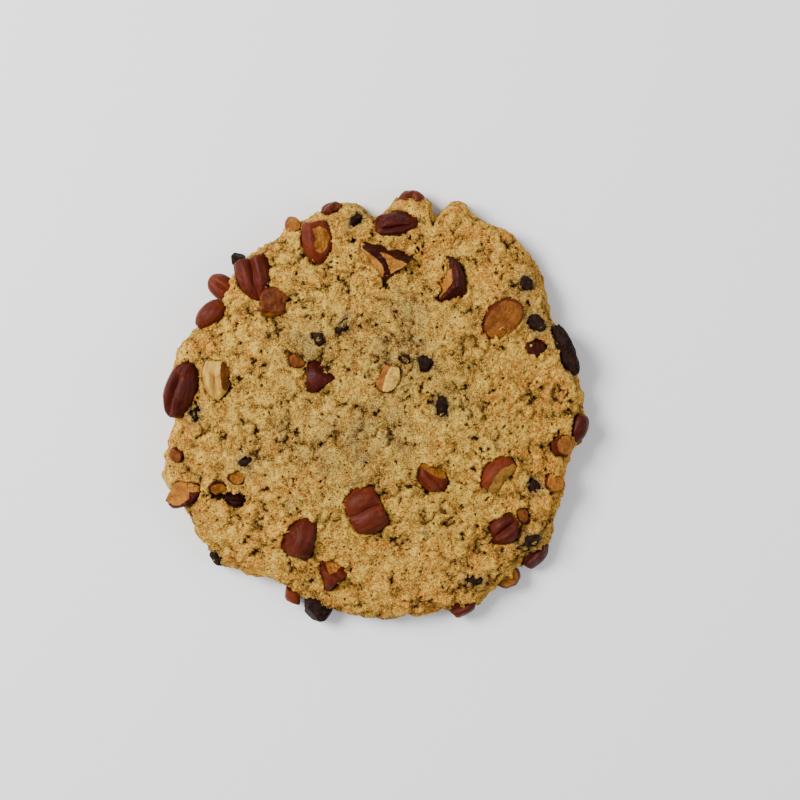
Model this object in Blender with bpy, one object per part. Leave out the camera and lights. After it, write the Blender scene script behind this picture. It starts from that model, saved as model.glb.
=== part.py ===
"""A large drop cookie with chopped pecans and chocolate pieces, lying flat on its baked base.

Run it with blender --background --python part.py, or from Blender's text editor.
Metres, +Z up. The origin is at the middle of the base. Sizes in the tables are in millimetres.
"""

import math

import bmesh
import bpy
from mathutils import Euler, Vector, noise

MM = 0.001

# The dough: a low dome with a rounded rim and an uneven outline.
MEAN_RADIUS = 53.0
SHOULDER = 0.92  # the share of the radius where the top turns down into the rim
SHOULDER_HEIGHT = 9.6
DOME = 5.6  # how much higher the middle is than the shoulder
DOME_POWER = 1.25  # above 1 the crust levels out before it reaches the shoulder
WIDEST_HEIGHT = 3.4  # the height at which the rim stands out the most
BASE_SHARE = 0.955  # the share of the radius that the flat base has
OUTLINE_BLEND = 4  # how fast the outline's lobes fade towards the middle, as a power of the radius

# Lobes (+) and notches (-) of the outline: direction in degrees from +X, half width in degrees, height.
LOBES = (
    (19, 5.5, 2.2),
    (23, 13.7, -5.2),
    (40, 26.0, 2.6),
    (67, 3.2, 2.8),
    (72, 1.8, -3.6),
    (89, 4.0, -4.8),
    (131, 9.6, 3.1),
    (133, 25.7, -7.0),
    (152, 5.9, -2.3),
    (183, 13.0, -4.9),
    (212, 11.7, -7.0),
    (212, 23.6, 8.0),
    (237, 13.2, -4.8),
    (259, 4.8, -0.7),
    (297, 2.4, 1.0),
    (301, 22.9, 2.2),
    (323, 4.5, 2.0),
    (345, 6.8, -2.1),
)

# Relief of the crust: size of the feature and how far it stands up or sinks.
SWELL_SIZE, SWELL_HEIGHT = 15.0, 1.1
LUMP_SIZE, LUMP_HEIGHT = 5.5, 0.65
CRAG_SIZE, CRAG_DEPTH, CRAG_WIDTH = 7.0, 0.8, 0.22
BASE_FADE = 0.35  # the share of the rim's height over which the relief dies out towards the base

# How much of the sphere's area becomes the top and the flat base. The rim gets the rest.
TOP_AREA, BASE_AREA = 0.60, 0.20
DOUGH_DIVISIONS = 6
DOUGH_KEPT = 0.122  # the share of the sphere's triangles that the dough keeps

# Pieces lie in pockets that are this much larger than they are.
POCKET_GAP = 0.42
POCKET_ROUNDNESS = 0.92  # a coarse pocket's faces lie this near to its corners' ellipsoid

DOUGH_COLOUR = (0.60, 0.37, 0.13)
SKIN_COLOUR = (0.20, 0.055, 0.025)
FLESH_COLOUR = (0.52, 0.27, 0.10)
CHOCOLATE_COLOUR = (0.045, 0.022, 0.018)

CHUNK_POWER = 3.2  # 2 is a round lump of chocolate, and more has blunter faces and sharper corners
FLESH_SLOT = 1  # a kernel's second material, on its cut faces
UP = (0, 0, 1)

# Pecan pieces that show on top. Each row: name, x, y, height of the piece's middle above the crust,
# length, width, thickness, outer groove, inner groove, turns about X, Y and Z in degrees, and the cuts
# as outward direction and distance from the kernel's middle. A kernel lies along its own Y, skin up,
# with its tip at -Y.
TOP_PECANS = (
    ("pecan_heart", -29.3, 32.0, -0.4, 15.0, 9.0, 7.0, 1.4, 0, (-14, 0, 15), (((0, 1, 0), 3.0),)),
    ("pecan_rough", -25.1, 25.6, -0.2, 9.6, 8.2, 6.5, 0, 0, (0, 0, -35),
     ((UP, 1.9), ((1, 0.3, 0), 3.0), ((-0.8, -0.6, 0), 3.1), ((0, 1, 0), 3.4), ((0.5, -0.7, 0.5), 2.6))),
    ("pecan_comma", -13.9, 41.0, -0.2, 12.5, 7.6, 6.6, 0, 0, (0, 0, 5),
     (((0.55, 0.3, 0.78), 2.95), ((0, 1, 0), 4.6))),
    ("pecan_ridge", 5.6, 46.0, -0.2, 13.4, 5.6, 5.6, 0.7, 0, (0, -25, 99), (((0.15, 1, 0), 5.2),)),
    ("pecan_section", 3.0, 36.4, -1.5, 16.0, 17.0, 13.0, 0, 0, (68, 0, 166),
     (((0, 1, 0), 2.2), ((0, -1, 0), 4.0), (UP, 3.9), ((0.69, 0, -0.72), 1.5), ((-0.8, 0, -0.6), 2.9))),
    ("pecan_side", 18.6, 31.3, -0.6, 15.0, 9.2, 8.0, 0, 0.8, (0, 0, 10),
     (((-0.62, 0.35, 0.7), 1.6), ((0.1, -0.75, 0.65), 3.4))),
    ("pecan_oval", 32.1, 22.3, -0.4, 11.8, 8.0, 6.0, 0, 0, (0, -10, -46), (((0.36, 0, 0.93), 1.3),)),
    ("pecan_middle", 3.6, 7.7, -0.3, 8.8, 5.8, 5.4, 0, 0, (0, 0, -34),
     (((0.45, 0.1, 0.89), 1.35), ((-0.55, -0.15, 0.82), 1.5), ((0, 1, 0), 3.5), ((0, -1, 0), 3.7))),
    ("pecan_wedge", -12.4, 8.0, -0.8, 8.4, 9.4, 6.4, 0, 0, (0, 0, 0),
     (((-1, 0.05, 0), 3.3), ((0.56, -0.83, 0), 2.1), ((0.45, 0.7, 0.55), 2.9))),
    ("pecan_scrap", -18.7, 12.0, -0.4, 4.6, 3.4, 3.6, 0, 0, (0, 0, 50), (((0.4, 0, 0.9), 1.0),)),
    ("pecan_cream", -38.7, 7.2, -0.2, 10.6, 6.8, 5.4, 0.9, 1.1, (0, 168, 3),
     (((0, 1, 0), 4.4), ((-0.87, 0, -0.48), 2.3))),
    ("pecan_slice", -47.3, -21.6, 0.1, 10.4, 6.8, 5.6, 0, 0, (0, -4, -66), (((-0.3, 0.13, 0.95), 1.0),)),
    ("pecan_chip_a", -38.7, -19.9, -0.3, 4.8, 3.6, 4.4, 0, 0, (0, 0, -76), (((0.45, 0.3, 0.85), 1.0),)),
    ("pecan_chip_b", -34.0, -17.2, -0.3, 5.0, 3.6, 4.2, 0, 0, (0, 0, -70), (((-0.35, 0.4, 0.85), 0.9),)),
    ("pecan_chip_c", -34.2, -22.6, -1.0, 6.2, 4.0, 4.6, 0.5, 0, (0, 0, -96), (((0, -1, 0), 2.6),)),
    ("pecan_cross", -1.9, -25.0, -0.8, 13.0, 12.6, 8.0, 1.0, 0, (0, 0, -66),
     (((0, 1, 0), 4.3), ((0, -1, 0), 4.3))),
    ("pecan_drop", -17.8, -31.5, -0.6, 13.5, 8.6, 6.8, 0, 0, (4, 0, 158),
     (((0, 1, 0), 4.8), ((0.8, 0.2, 0.55), 3.1))),
    ("pecan_vee", -9.5, -41.4, -0.3, 10.6, 10.4, 6.6, 0, 0.8, (0, 0, -15),
     (((0.1, 0.74, 0.66), 1.9), ((-0.85, -0.45, 0.25), 3.6), ((0.8, -0.55, 0.2), 2.4))),
    ("pecan_low", 15.0, -16.7, -0.5, 11.0, 7.4, 6.2, 0.6, 0, (0, 0, 38), (((0.75, 0.35, 0.65), 2.5),)),
    ("pecan_split", 31.3, -16.2, -0.1, 11.0, 7.2, 6.0, 0, 0, (0, 0, -40),
     (((0.75, 0, 0.66), 1.9), ((0, -1, 0), 4.5))),
    ("pecan_wrinkled", 32.4, -30.4, -0.4, 9.6, 7.8, 6.8, 1.3, 0, (0, 0, -52), (((0, 1, 0), 3.8),)),
    ("pecan_crumb", 37.6, -26.9, -0.3, 4.6, 3.4, 3.6, 0, 0, (0, 0, 40), (((0.5, 0.3, 0.8), 0.9),)),
    ("pecan_dark", 40.6, 14.6, -0.7, 6.2, 5.0, 4.8, 0, 0, (0, 0, 30),
     (((0, 1, 0), 2.2), ((0.3, 0.1, 0.95), 1.6))),
    ("pecan_tan", 45.2, -18.6, 0.0, 6.0, 5.2, 4.8, 0, 0, (0, 0, 20),
     (((0.5, 0.2, 0.85), 1.1), ((0, -1, 0.2), 2.0))),
)

# Pecan pieces in the rim: as above, but with the height of the piece's middle above the base.
RIM_PECANS = (
    ("rim_pecan_half", -47.8, 4.8, 9.3, 14.8, 7.8, 7.0, 1.6, 0, (0, -32, -20), (((0, -1, 0), 7.0),)),
    ("rim_pecan_bean", -40.6, 23.3, 8.4, 9.0, 5.6, 5.2, 0, 0, (0, 0, -48), (((0, 1, 0), 4.2),)),
    ("rim_pecan_corner", -37.4, 29.9, 5.0, 9.4, 6.0, 4.8, 0.4, 0, (0, 0, 52), (((0, -1, 0), 4.1),)),
    ("rim_pecan_pale", -19.8, 45.2, 6.6, 5.8, 4.4, 4.4, 0, 0, (0, 0, 10), (((0, 0.4, 0.9), 1.6),)),
    ("rim_pecan_flake", -10.2, 49.7, 7.8, 6.6, 3.0, 4.0, 0, 0, (0, 0, -72), (((0, 0.5, 0.8), 1.4),)),
    ("rim_pecan_tip", 9.6, 50.4, 3.9, 9.0, 7.8, 5.4, 1.7, 0, (12, 0, -8), (((0, -1, 0), 3.4),)),
    ("rim_pecan_right", 51.3, -5.1, 6.6, 8.0, 5.0, 5.2, 0, 0, (0, 30, -14), (((0, 1, 0), 3.4),)),
    ("rim_pecan_face", 47.3, -9.6, 9.2, 6.4, 5.4, 5.2, 0, 0, (0, 18, 10),
     (((0.35, 0, 0.94), 1.5), ((0, 1, 0), 2.6))),
    ("rim_pecan_south_a", 22.0, -50.1, 4.4, 8.6, 6.8, 4.8, 0.5, 0, (0, 0, -58), (((0, 1, 0), 3.6),)),
    ("rim_pecan_south_b", 34.0, -43.2, 4.4, 7.0, 6.0, 4.6, 0, 0, (0, 0, -44), (((0, 0, 1), 1.4),)),
    ("rim_pecan_south_c", 40.6, -37.0, 4.0, 9.6, 6.4, 4.4, 0.5, 0, (0, 0, -38), (((0, -1, 0), 4.4),)),
    ("rim_pecan_south_d", -20.4, -47.4, 4.2, 7.4, 3.8, 4.4, 0, 0, (0, 0, 28), (((0.9, 0, 0.3), 1.6),)),
    ("rim_pecan_west", -49.0, -11.6, 8.2, 4.6, 3.6, 4.2, 0, 0, (0, -20, 30), (((0.3, 0, 0.95), 1.4),)),
)

# Chocolate pieces that show on top: name, x, y, height of the middle above the crust, length, width,
# thickness, turns about X, Y and Z in degrees.
TOP_CHOCOLATE = (
    ("chocolate_twin_a", -13.3, 17.5, -1.1, 4.8, 3.6, 3.8, (0, 0, 60)),
    ("chocolate_twin_b", -7.5, 20.8, -1.2, 7.6, 3.2, 3.6, (0, 0, -46)),
    ("chocolate_streak", 16.9, 1.0, -1.2, 7.6, 3.0, 3.8, (0, 0, -8)),
    ("chocolate_spot_a", 13.1, 11.6, -1.2, 4.8, 4.2, 3.4, (0, 0, 20)),
    ("chocolate_spot_b", 7.6, 12.9, -1.3, 4.6, 3.4, 3.2, (0, 0, 70)),
    ("chocolate_north", 38.1, 31.0, -1.1, 5.0, 3.4, 3.4, (0, 0, 25)),
    ("chocolate_elbow", 40.2, 21.2, -1.2, 6.6, 4.4, 4.0, (0, 0, 46)),
    ("chocolate_west", -44.2, -1.3, -1.0, 5.6, 2.4, 3.2, (0, 0, -20)),
    ("chocolate_smear_a", 39.9, -19.3, -1.1, 5.2, 3.8, 3.4, (0, 0, 10)),
    ("chocolate_smear_b", 39.3, -33.0, -0.9, 5.2, 3.8, 2.8, (0, 0, -70)),
    ("chocolate_south", 25.4, -42.9, -1.1, 6.2, 2.8, 3.2, (0, 0, -85)),
    ("chocolate_smear_c", -32.0, -12.8, -1.1, 5.4, 2.8, 3.2, (0, 0, -62)),
)

# Chocolate pieces in the rim: as above, but with the height of the middle above the base.
RIM_CHOCOLATE = (
    ("rim_chocolate_east", 48.1, 14.4, 7.6, 12.8, 4.6, 6.0, (0, 28, 23)),
    ("rim_chocolate_south", -13.8, -50.7, 4.2, 8.2, 6.8, 5.4, (0, 0, 20)),
    ("rim_chocolate_sill", 2.2, -51.6, 3.6, 10.4, 4.2, 3.6, (0, 0, -87)),
    ("rim_chocolate_north", -3.7, 47.2, 8.6, 5.2, 2.6, 3.8, (0, 0, -54)),
    ("rim_chocolate_corner", -33.6, 36.6, 3.0, 5.4, 3.8, 3.0, (0, 0, 44)),
    ("rim_chocolate_west", -38.6, -37.6, 4.0, 5.8, 4.2, 4.2, (0, -30, 45)),
)


def wrapped(angle):
    """The angle in degrees, from -180 to 180."""
    return (angle + 180) % 360 - 180


def outline(angle):
    """How far the outline stands out of the mean circle, in the direction angle, in degrees."""
    return sum(h * math.exp(-((wrapped(angle - at) / width) ** 2)) for at, width, h in LOBES)


def radius_at(share, angle):
    """The distance from the middle at a share of the way to the outline."""
    return share * (MEAN_RADIUS + outline(angle) * share**OUTLINE_BLEND)


def dome_height(share):
    """The height of the smooth crust at a share of the way to the outline."""
    if share < SHOULDER:
        return SHOULDER_HEIGHT + DOME * (1 - (share / SHOULDER) ** 2) ** DOME_POWER
    across = min(1.0, (share - SHOULDER) / (1 - SHOULDER))
    return WIDEST_HEIGHT + (SHOULDER_HEIGHT - WIDEST_HEIGHT) * math.sqrt(1 - across**2)


def relief(point):
    """How far the crust stands out of its smooth form at a point: swells, lumps and crags."""
    swell = noise.noise(point / SWELL_SIZE)
    lump = noise.noise(point / LUMP_SIZE + Vector((7.3, 1.9, 4.1)))
    near, second = noise.voronoi(point / CRAG_SIZE)[0][:2]
    crag = max(0.0, 1 - (second - near) / CRAG_WIDTH)
    return SWELL_HEIGHT * swell + LUMP_HEIGHT * lump - CRAG_DEPTH * crag**2


def dough_point(direction):
    """The point of the crust that a direction of the unit sphere goes to."""
    used = (1 - direction.z) / 2
    angle = math.degrees(math.atan2(direction.y, direction.x))
    if used < TOP_AREA:
        share = SHOULDER * math.sqrt(used / TOP_AREA)
        height, out, up = dome_height(share), 0.0, 1.0
    elif used < 1 - BASE_AREA:
        turn = math.pi * (used - TOP_AREA) / (1 - BASE_AREA - TOP_AREA)
        out, up = math.sin(turn), math.cos(turn)
        inner, level = (SHOULDER, SHOULDER_HEIGHT) if up > 0 else (BASE_SHARE, 0.0)
        share = inner + (1 - inner) * out
        height = WIDEST_HEIGHT + abs(up) * (level - WIDEST_HEIGHT)
    else:
        share, height, out, up = BASE_SHARE * math.sqrt((1 - used) / BASE_AREA), 0.0, 0.0, 0.0
    radius = radius_at(share, angle)
    around = Vector((math.cos(math.radians(angle)), math.sin(math.radians(angle)), 0))
    smooth = around * radius + Vector((0, 0, height))
    fade = min(1.0, height / (SHOULDER_HEIGHT * BASE_FADE))
    rough = smooth + (around * out + Vector((0, 0, max(0.0, up)))) * relief(smooth) * fade
    return Vector((rough.x, rough.y, max(0.0, rough.z)))


def crust_height(x, y):
    """The height of the crust above the base, at a place on the top."""
    angle = math.degrees(math.atan2(y, x))
    share = math.hypot(x, y) / MEAN_RADIUS
    for _ in range(6):
        share = min(1.0, math.hypot(x, y) / (MEAN_RADIUS + outline(angle) * share**OUTLINE_BLEND))
    height = dome_height(share)
    return height + relief(Vector((x, y, height)))


def material(name, colour, roughness):
    made = bpy.data.materials.new(name)
    made.use_nodes = True
    shader = made.node_tree.nodes["Principled BSDF"]
    shader.inputs["Base Color"].default_value = (*colour, 1)
    shader.inputs["Roughness"].default_value = roughness
    made.diffuse_color = (*colour, 1)
    return made


def scaled_to_metres(mesh):
    for vertex in mesh.vertices:
        vertex.co *= MM


def sphere_with_poles_on_y(mesh, segments, rings):
    """A unit sphere whose poles are on Y, so that its meridians run along a kernel."""
    bmesh.ops.create_uvsphere(mesh, u_segments=segments, v_segments=rings, radius=1)
    bmesh.ops.rotate(mesh, verts=mesh.verts, matrix=Euler((math.pi / 2, 0, 0)).to_matrix())


def kernel_point(direction, length, width, thickness, outer, inner):
    """The point of a whole pecan half that a direction goes to: two lobes, tapered to the tip at -Y."""
    taper = 1 - 0.28 * max(0.0, -direction.y) ** 2
    x = direction.x * width / 2 * taper
    y = direction.y * length / 2
    z = direction.z * thickness * (0.6 if direction.z > 0 else 0.4) * taper
    dip = math.exp(-((x / (0.13 * width)) ** 2)) * (1 - direction.y**2)
    return Vector((x, y, z - dip * (outer if direction.z > 0 else -inner)))


def cut(mesh, direction, distance):
    """Cuts away what lies beyond a plane, and closes the cut with a flat face."""
    normal = Vector(direction).normalized()
    geometry = mesh.verts[:] + mesh.edges[:] + mesh.faces[:]
    bmesh.ops.bisect_plane(mesh, geom=geometry, plane_co=normal * distance, plane_no=normal,
                           clear_outer=True)
    filled = bmesh.ops.holes_fill(mesh, edges=[e for e in mesh.edges if e.is_boundary], sides=0)
    for face in filled["faces"]:
        face.material_index = FLESH_SLOT


def pecan_mesh(name, size, grooves, cuts, segments, rings, grow=0.0):
    """A piece of a pecan half about the middle of its own box, grown by a gap where it is a pocket."""
    length, width, thickness = size
    mesh = bmesh.new()
    sphere_with_poles_on_y(mesh, segments, rings)
    for vertex in mesh.verts:
        vertex.co = kernel_point(vertex.co.copy(), length, width, thickness, *grooves)
    for direction, distance in cuts:
        cut(mesh, direction, distance)
    centre_and_grow(mesh, grow)
    return finished(mesh, name)


def chocolate_mesh(name, size, grow=0.0):
    """A lump of chocolate with blunt corners, about the middle of its box, grown where it is a pocket."""
    length, width, thickness = size
    mesh = bmesh.new()
    bmesh.ops.create_icosphere(mesh, subdivisions=2, radius=1)
    for vertex in mesh.verts:
        bulge = 1 + 0.22 * noise.noise(vertex.co * 1.4 + Vector((length, width, thickness)))
        bulge /= sum(abs(part) ** CHUNK_POWER for part in vertex.co) ** (1 / CHUNK_POWER)
        vertex.co.x *= width / 2 * bulge
        vertex.co.y *= length / 2 * bulge
        vertex.co.z *= thickness / 2 * bulge
    centre_and_grow(mesh, grow)
    return finished(mesh, name)


def centre_and_grow(mesh, grow):
    """Moves the mesh's box to the origin. A pocket is then scaled up, so that its walls stay clear."""
    low = Vector(min(v.co[i] for v in mesh.verts) for i in range(3))
    high = Vector(max(v.co[i] for v in mesh.verts) for i in range(3))
    half = (high - low) / 2
    for vertex in mesh.verts:
        vertex.co -= (low + high) / 2
        if grow:
            for i in range(3):
                vertex.co[i] *= (half[i] + grow) / half[i] / POCKET_ROUNDNESS


def finished(mesh, name):
    bmesh.ops.recalc_face_normals(mesh, faces=mesh.faces)
    data = bpy.data.meshes.new(name)
    mesh.to_mesh(data)
    mesh.free()
    scaled_to_metres(data)
    return data


def placed(name, data, where, turns, collection, slots=()):
    obj = bpy.data.objects.new(name, data)
    obj.location = Vector(where) * MM
    obj.rotation_euler = [math.radians(turn) for turn in turns]
    for slot in slots:
        data.materials.append(slot)
    collection.objects.link(obj)
    return obj


def as_cutter(obj):
    obj.hide_render = True
    obj.display_type = "WIRE"


def sides_for(length):
    """How many segments and rings a kernel of this length is drawn with."""
    if length > 12:
        return 12, 8
    return (10, 7) if length > 8 else (8, 6)


def add_pecans(rows, on_crust, slots, pieces, pockets):
    for name, x, y, height, length, width, thickness, outer, inner, turns, cuts in rows:
        z = height + (crust_height(x, y) if on_crust else 0)
        size, grooves = (length, width, thickness), (outer, inner)
        segments, rings = sides_for(length)
        data = pecan_mesh(name, size, grooves, cuts, segments, rings)
        placed(name, data, (x, y, z), turns, pieces, slots)
        segments, rings = (10, 6) if length > 12 else (8, 5)
        data = pecan_mesh(name + "_pocket", size, (0, 0), cuts, segments, rings, POCKET_GAP)
        as_cutter(placed(name + "_pocket", data, (x, y, z), turns, pockets))


def add_chocolate(rows, on_crust, slot, pieces, pockets):
    for name, x, y, height, length, width, thickness, turns in rows:
        z = height + (crust_height(x, y) if on_crust else 0)
        size = (length, width, thickness)
        placed(name, chocolate_mesh(name, size), (x, y, z), turns, pieces, [slot])
        data = chocolate_mesh(name + "_pocket", size, POCKET_GAP)
        as_cutter(placed(name + "_pocket", data, (x, y, z), turns, pockets))


def add_dough(slot, pieces, pockets):
    bpy.ops.mesh.primitive_ico_sphere_add(subdivisions=DOUGH_DIVISIONS, radius=1)
    dough = bpy.context.object
    dough.name = dough.data.name = "cookie_dough"
    for vertex in dough.data.vertices:
        vertex.co = dough_point(vertex.co.normalized()) * MM
    dough.data.materials.append(slot)
    for holder in dough.users_collection:
        holder.objects.unlink(dough)
    pieces.objects.link(dough)
    fewer = dough.modifiers.new("Fewer faces", "DECIMATE")
    fewer.ratio = DOUGH_KEPT
    hollow = dough.modifiers.new("Pockets", "BOOLEAN")
    hollow.operation = "DIFFERENCE"
    hollow.operand_type = "COLLECTION"
    hollow.collection = pockets
    hollow.solver = "EXACT"


def main():
    for obj in list(bpy.data.objects):
        bpy.data.objects.remove(obj)
    pieces = bpy.data.collections.new("cookie")
    pockets = bpy.data.collections.new("pockets")
    for collection in (pieces, pockets):
        bpy.context.scene.collection.children.link(collection)
    dough = material("baked dough", DOUGH_COLOUR, 0.85)
    skin = material("pecan skin", SKIN_COLOUR, 0.45)
    flesh = material("pecan flesh", FLESH_COLOUR, 0.6)
    chocolate = material("dark chocolate", CHOCOLATE_COLOUR, 0.4)
    add_pecans(TOP_PECANS, True, (skin, flesh), pieces, pockets)
    add_pecans(RIM_PECANS, False, (skin, flesh), pieces, pockets)
    add_chocolate(TOP_CHOCOLATE, True, chocolate, pieces, pockets)
    add_chocolate(RIM_CHOCOLATE, False, chocolate, pieces, pockets)
    add_dough(dough, pieces, pockets)


main()
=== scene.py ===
"""The looks of the drop cookie: crumbly crust, chopped pecans and dark chocolate.

Metres, +Z up. Sizes in the tables and the noise are in millimetres.
"""

import math
import random

import bpy
from mathutils import Euler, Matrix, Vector, noise
from mathutils.bvhtree import BVHTree


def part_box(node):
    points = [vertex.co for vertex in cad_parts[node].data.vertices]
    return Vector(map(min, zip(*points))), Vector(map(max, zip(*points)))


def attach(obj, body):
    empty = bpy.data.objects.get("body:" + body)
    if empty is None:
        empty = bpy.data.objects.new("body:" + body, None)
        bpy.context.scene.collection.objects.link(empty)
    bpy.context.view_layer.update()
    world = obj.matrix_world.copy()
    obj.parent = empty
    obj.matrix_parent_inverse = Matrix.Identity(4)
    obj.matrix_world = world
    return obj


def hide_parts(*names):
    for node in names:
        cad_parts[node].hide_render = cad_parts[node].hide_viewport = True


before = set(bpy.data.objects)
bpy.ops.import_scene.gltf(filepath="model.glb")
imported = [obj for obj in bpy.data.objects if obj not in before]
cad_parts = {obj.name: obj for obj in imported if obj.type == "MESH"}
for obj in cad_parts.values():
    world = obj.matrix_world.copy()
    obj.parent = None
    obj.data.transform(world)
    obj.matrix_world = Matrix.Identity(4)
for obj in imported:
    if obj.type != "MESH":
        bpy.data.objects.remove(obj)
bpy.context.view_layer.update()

MM = 0.001

# The dough's form, as in the solid but with shallower crags.
MEAN_RADIUS = 53.0
SHOULDER = 0.92  # the share of the radius where the top turns down into the rim
SHOULDER_HEIGHT = 9.6
DOME, DOME_POWER = 5.6, 1.25  # the middle's height over the shoulder, and how the dome is bent
WIDEST_HEIGHT = 3.4  # where the rim stands out the most
BASE_SHARE = 0.955  # the share of the radius that the flat base has
OUTLINE_BLEND = 4  # how fast the outline's bumps fade towards the middle
LOBES = (  # each with its direction and half its width in degrees, and its height
    (19, 5.5, 2.2),
    (23, 13.7, -5.2),
    (40, 26.0, 2.6),
    (67, 3.2, 2.8),
    (72, 1.8, -3.6),
    (89, 4.0, -4.8),
    (131, 9.6, 3.1),
    (133, 25.7, -7.0),
    (152, 5.9, -2.3),
    (183, 13.0, -4.9),
    (212, 11.7, -7.0),
    (212, 23.6, 8.0),
    (237, 13.2, -4.8),
    (259, 4.8, -0.7),
    (297, 2.4, 1.0),
    (301, 22.9, 2.2),
    (323, 4.5, 2.0),
    (345, 6.8, -2.1),
)
SWELL_SIZE, SWELL_HEIGHT = 15.0, 1.1
LUMP_SIZE, LUMP_HEIGHT = 5.5, 0.65
CRAG_SIZE, CRAG_DEPTH, CRAG_WIDTH = 7.0, 0.5, 0.22
BASE_FADE = 0.35  # the share of the rim's height over which the relief dies out towards the base

# The rings of points that the dough is made of: their spacings, and how far a point is moved along
# its ring at random, as a share of the spacing.
TOP_SPACING, RIM_SPACING, BASE_SPACING = 0.34, 0.45, 1.3
SPACING_GROWTH = 1.2  # from ring to ring, on the way from the rim to the middle of the base
RIM_LENGTH = 13.0  # along the rim's profile, from the shoulder to the base
JITTER = 0.22

# The crumb: finer relief that the solid leaves out.
NUGGET_SIZE, NUGGET_HEIGHT = 4.6, 1.15
CLUMP_SIZE, CLUMP_HEIGHT = 2.2, 0.5
GRAIN_SIZE, GRAIN_HEIGHT = 1.05, 0.3
FINE_SIZE, FINE_HEIGHT = 0.6, 0.2
VALLEY_DEPTH = 0.45
RAGGED_SIZE, RAGGED_HEIGHT = 2.6, 0.6
PIT_SPACING, PIT_LARGEST = 1.9, 0.55
CELL_MEAN = 0.48  # how far a point is from the middle of its cell on the whole, in shares of its size
BROWNEST = -35  # the direction in which the top's edge is brownest, in degrees

# Loose grains on the top: how many, their radii, and the most painted shading and stain of the crust under
# them.
CRUMBS = 2400
CRUMB_SMALLEST, CRUMB_LARGEST = 0.14, 0.40
CRUMB_MOST_SHADING, CRUMB_STAIN = 0.45, 1.0
DOUGH_SEED, CRUMB_SEED = 11, 23

# Where the crust meets a piece, kernels first and then chocolate.
KERNEL_REACH, CHUNK_REACH = 3.0, 2.5  # how far from a piece the crust is shaped for it
LAP_DEPTH, COVER_DEPTH = 0.4, 1.5  # how deep a piece is at most under crumb that laps over it
LAP_THICKNESS, COVER_THICKNESS = 0.12, 0.08  # how thick that crumb is at least
KERNEL_CLEARED, CHUNK_CLEARED = 0.9, 1.2  # how much crust over a buried edge is cleared away
KERNEL_BARED, CHUNK_BARED = 0.5, 0.4  # how far the crust then lies below that edge
HIDDEN = 1.6  # the stain of the crust where a chunk hides it, which the material darkens

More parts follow.
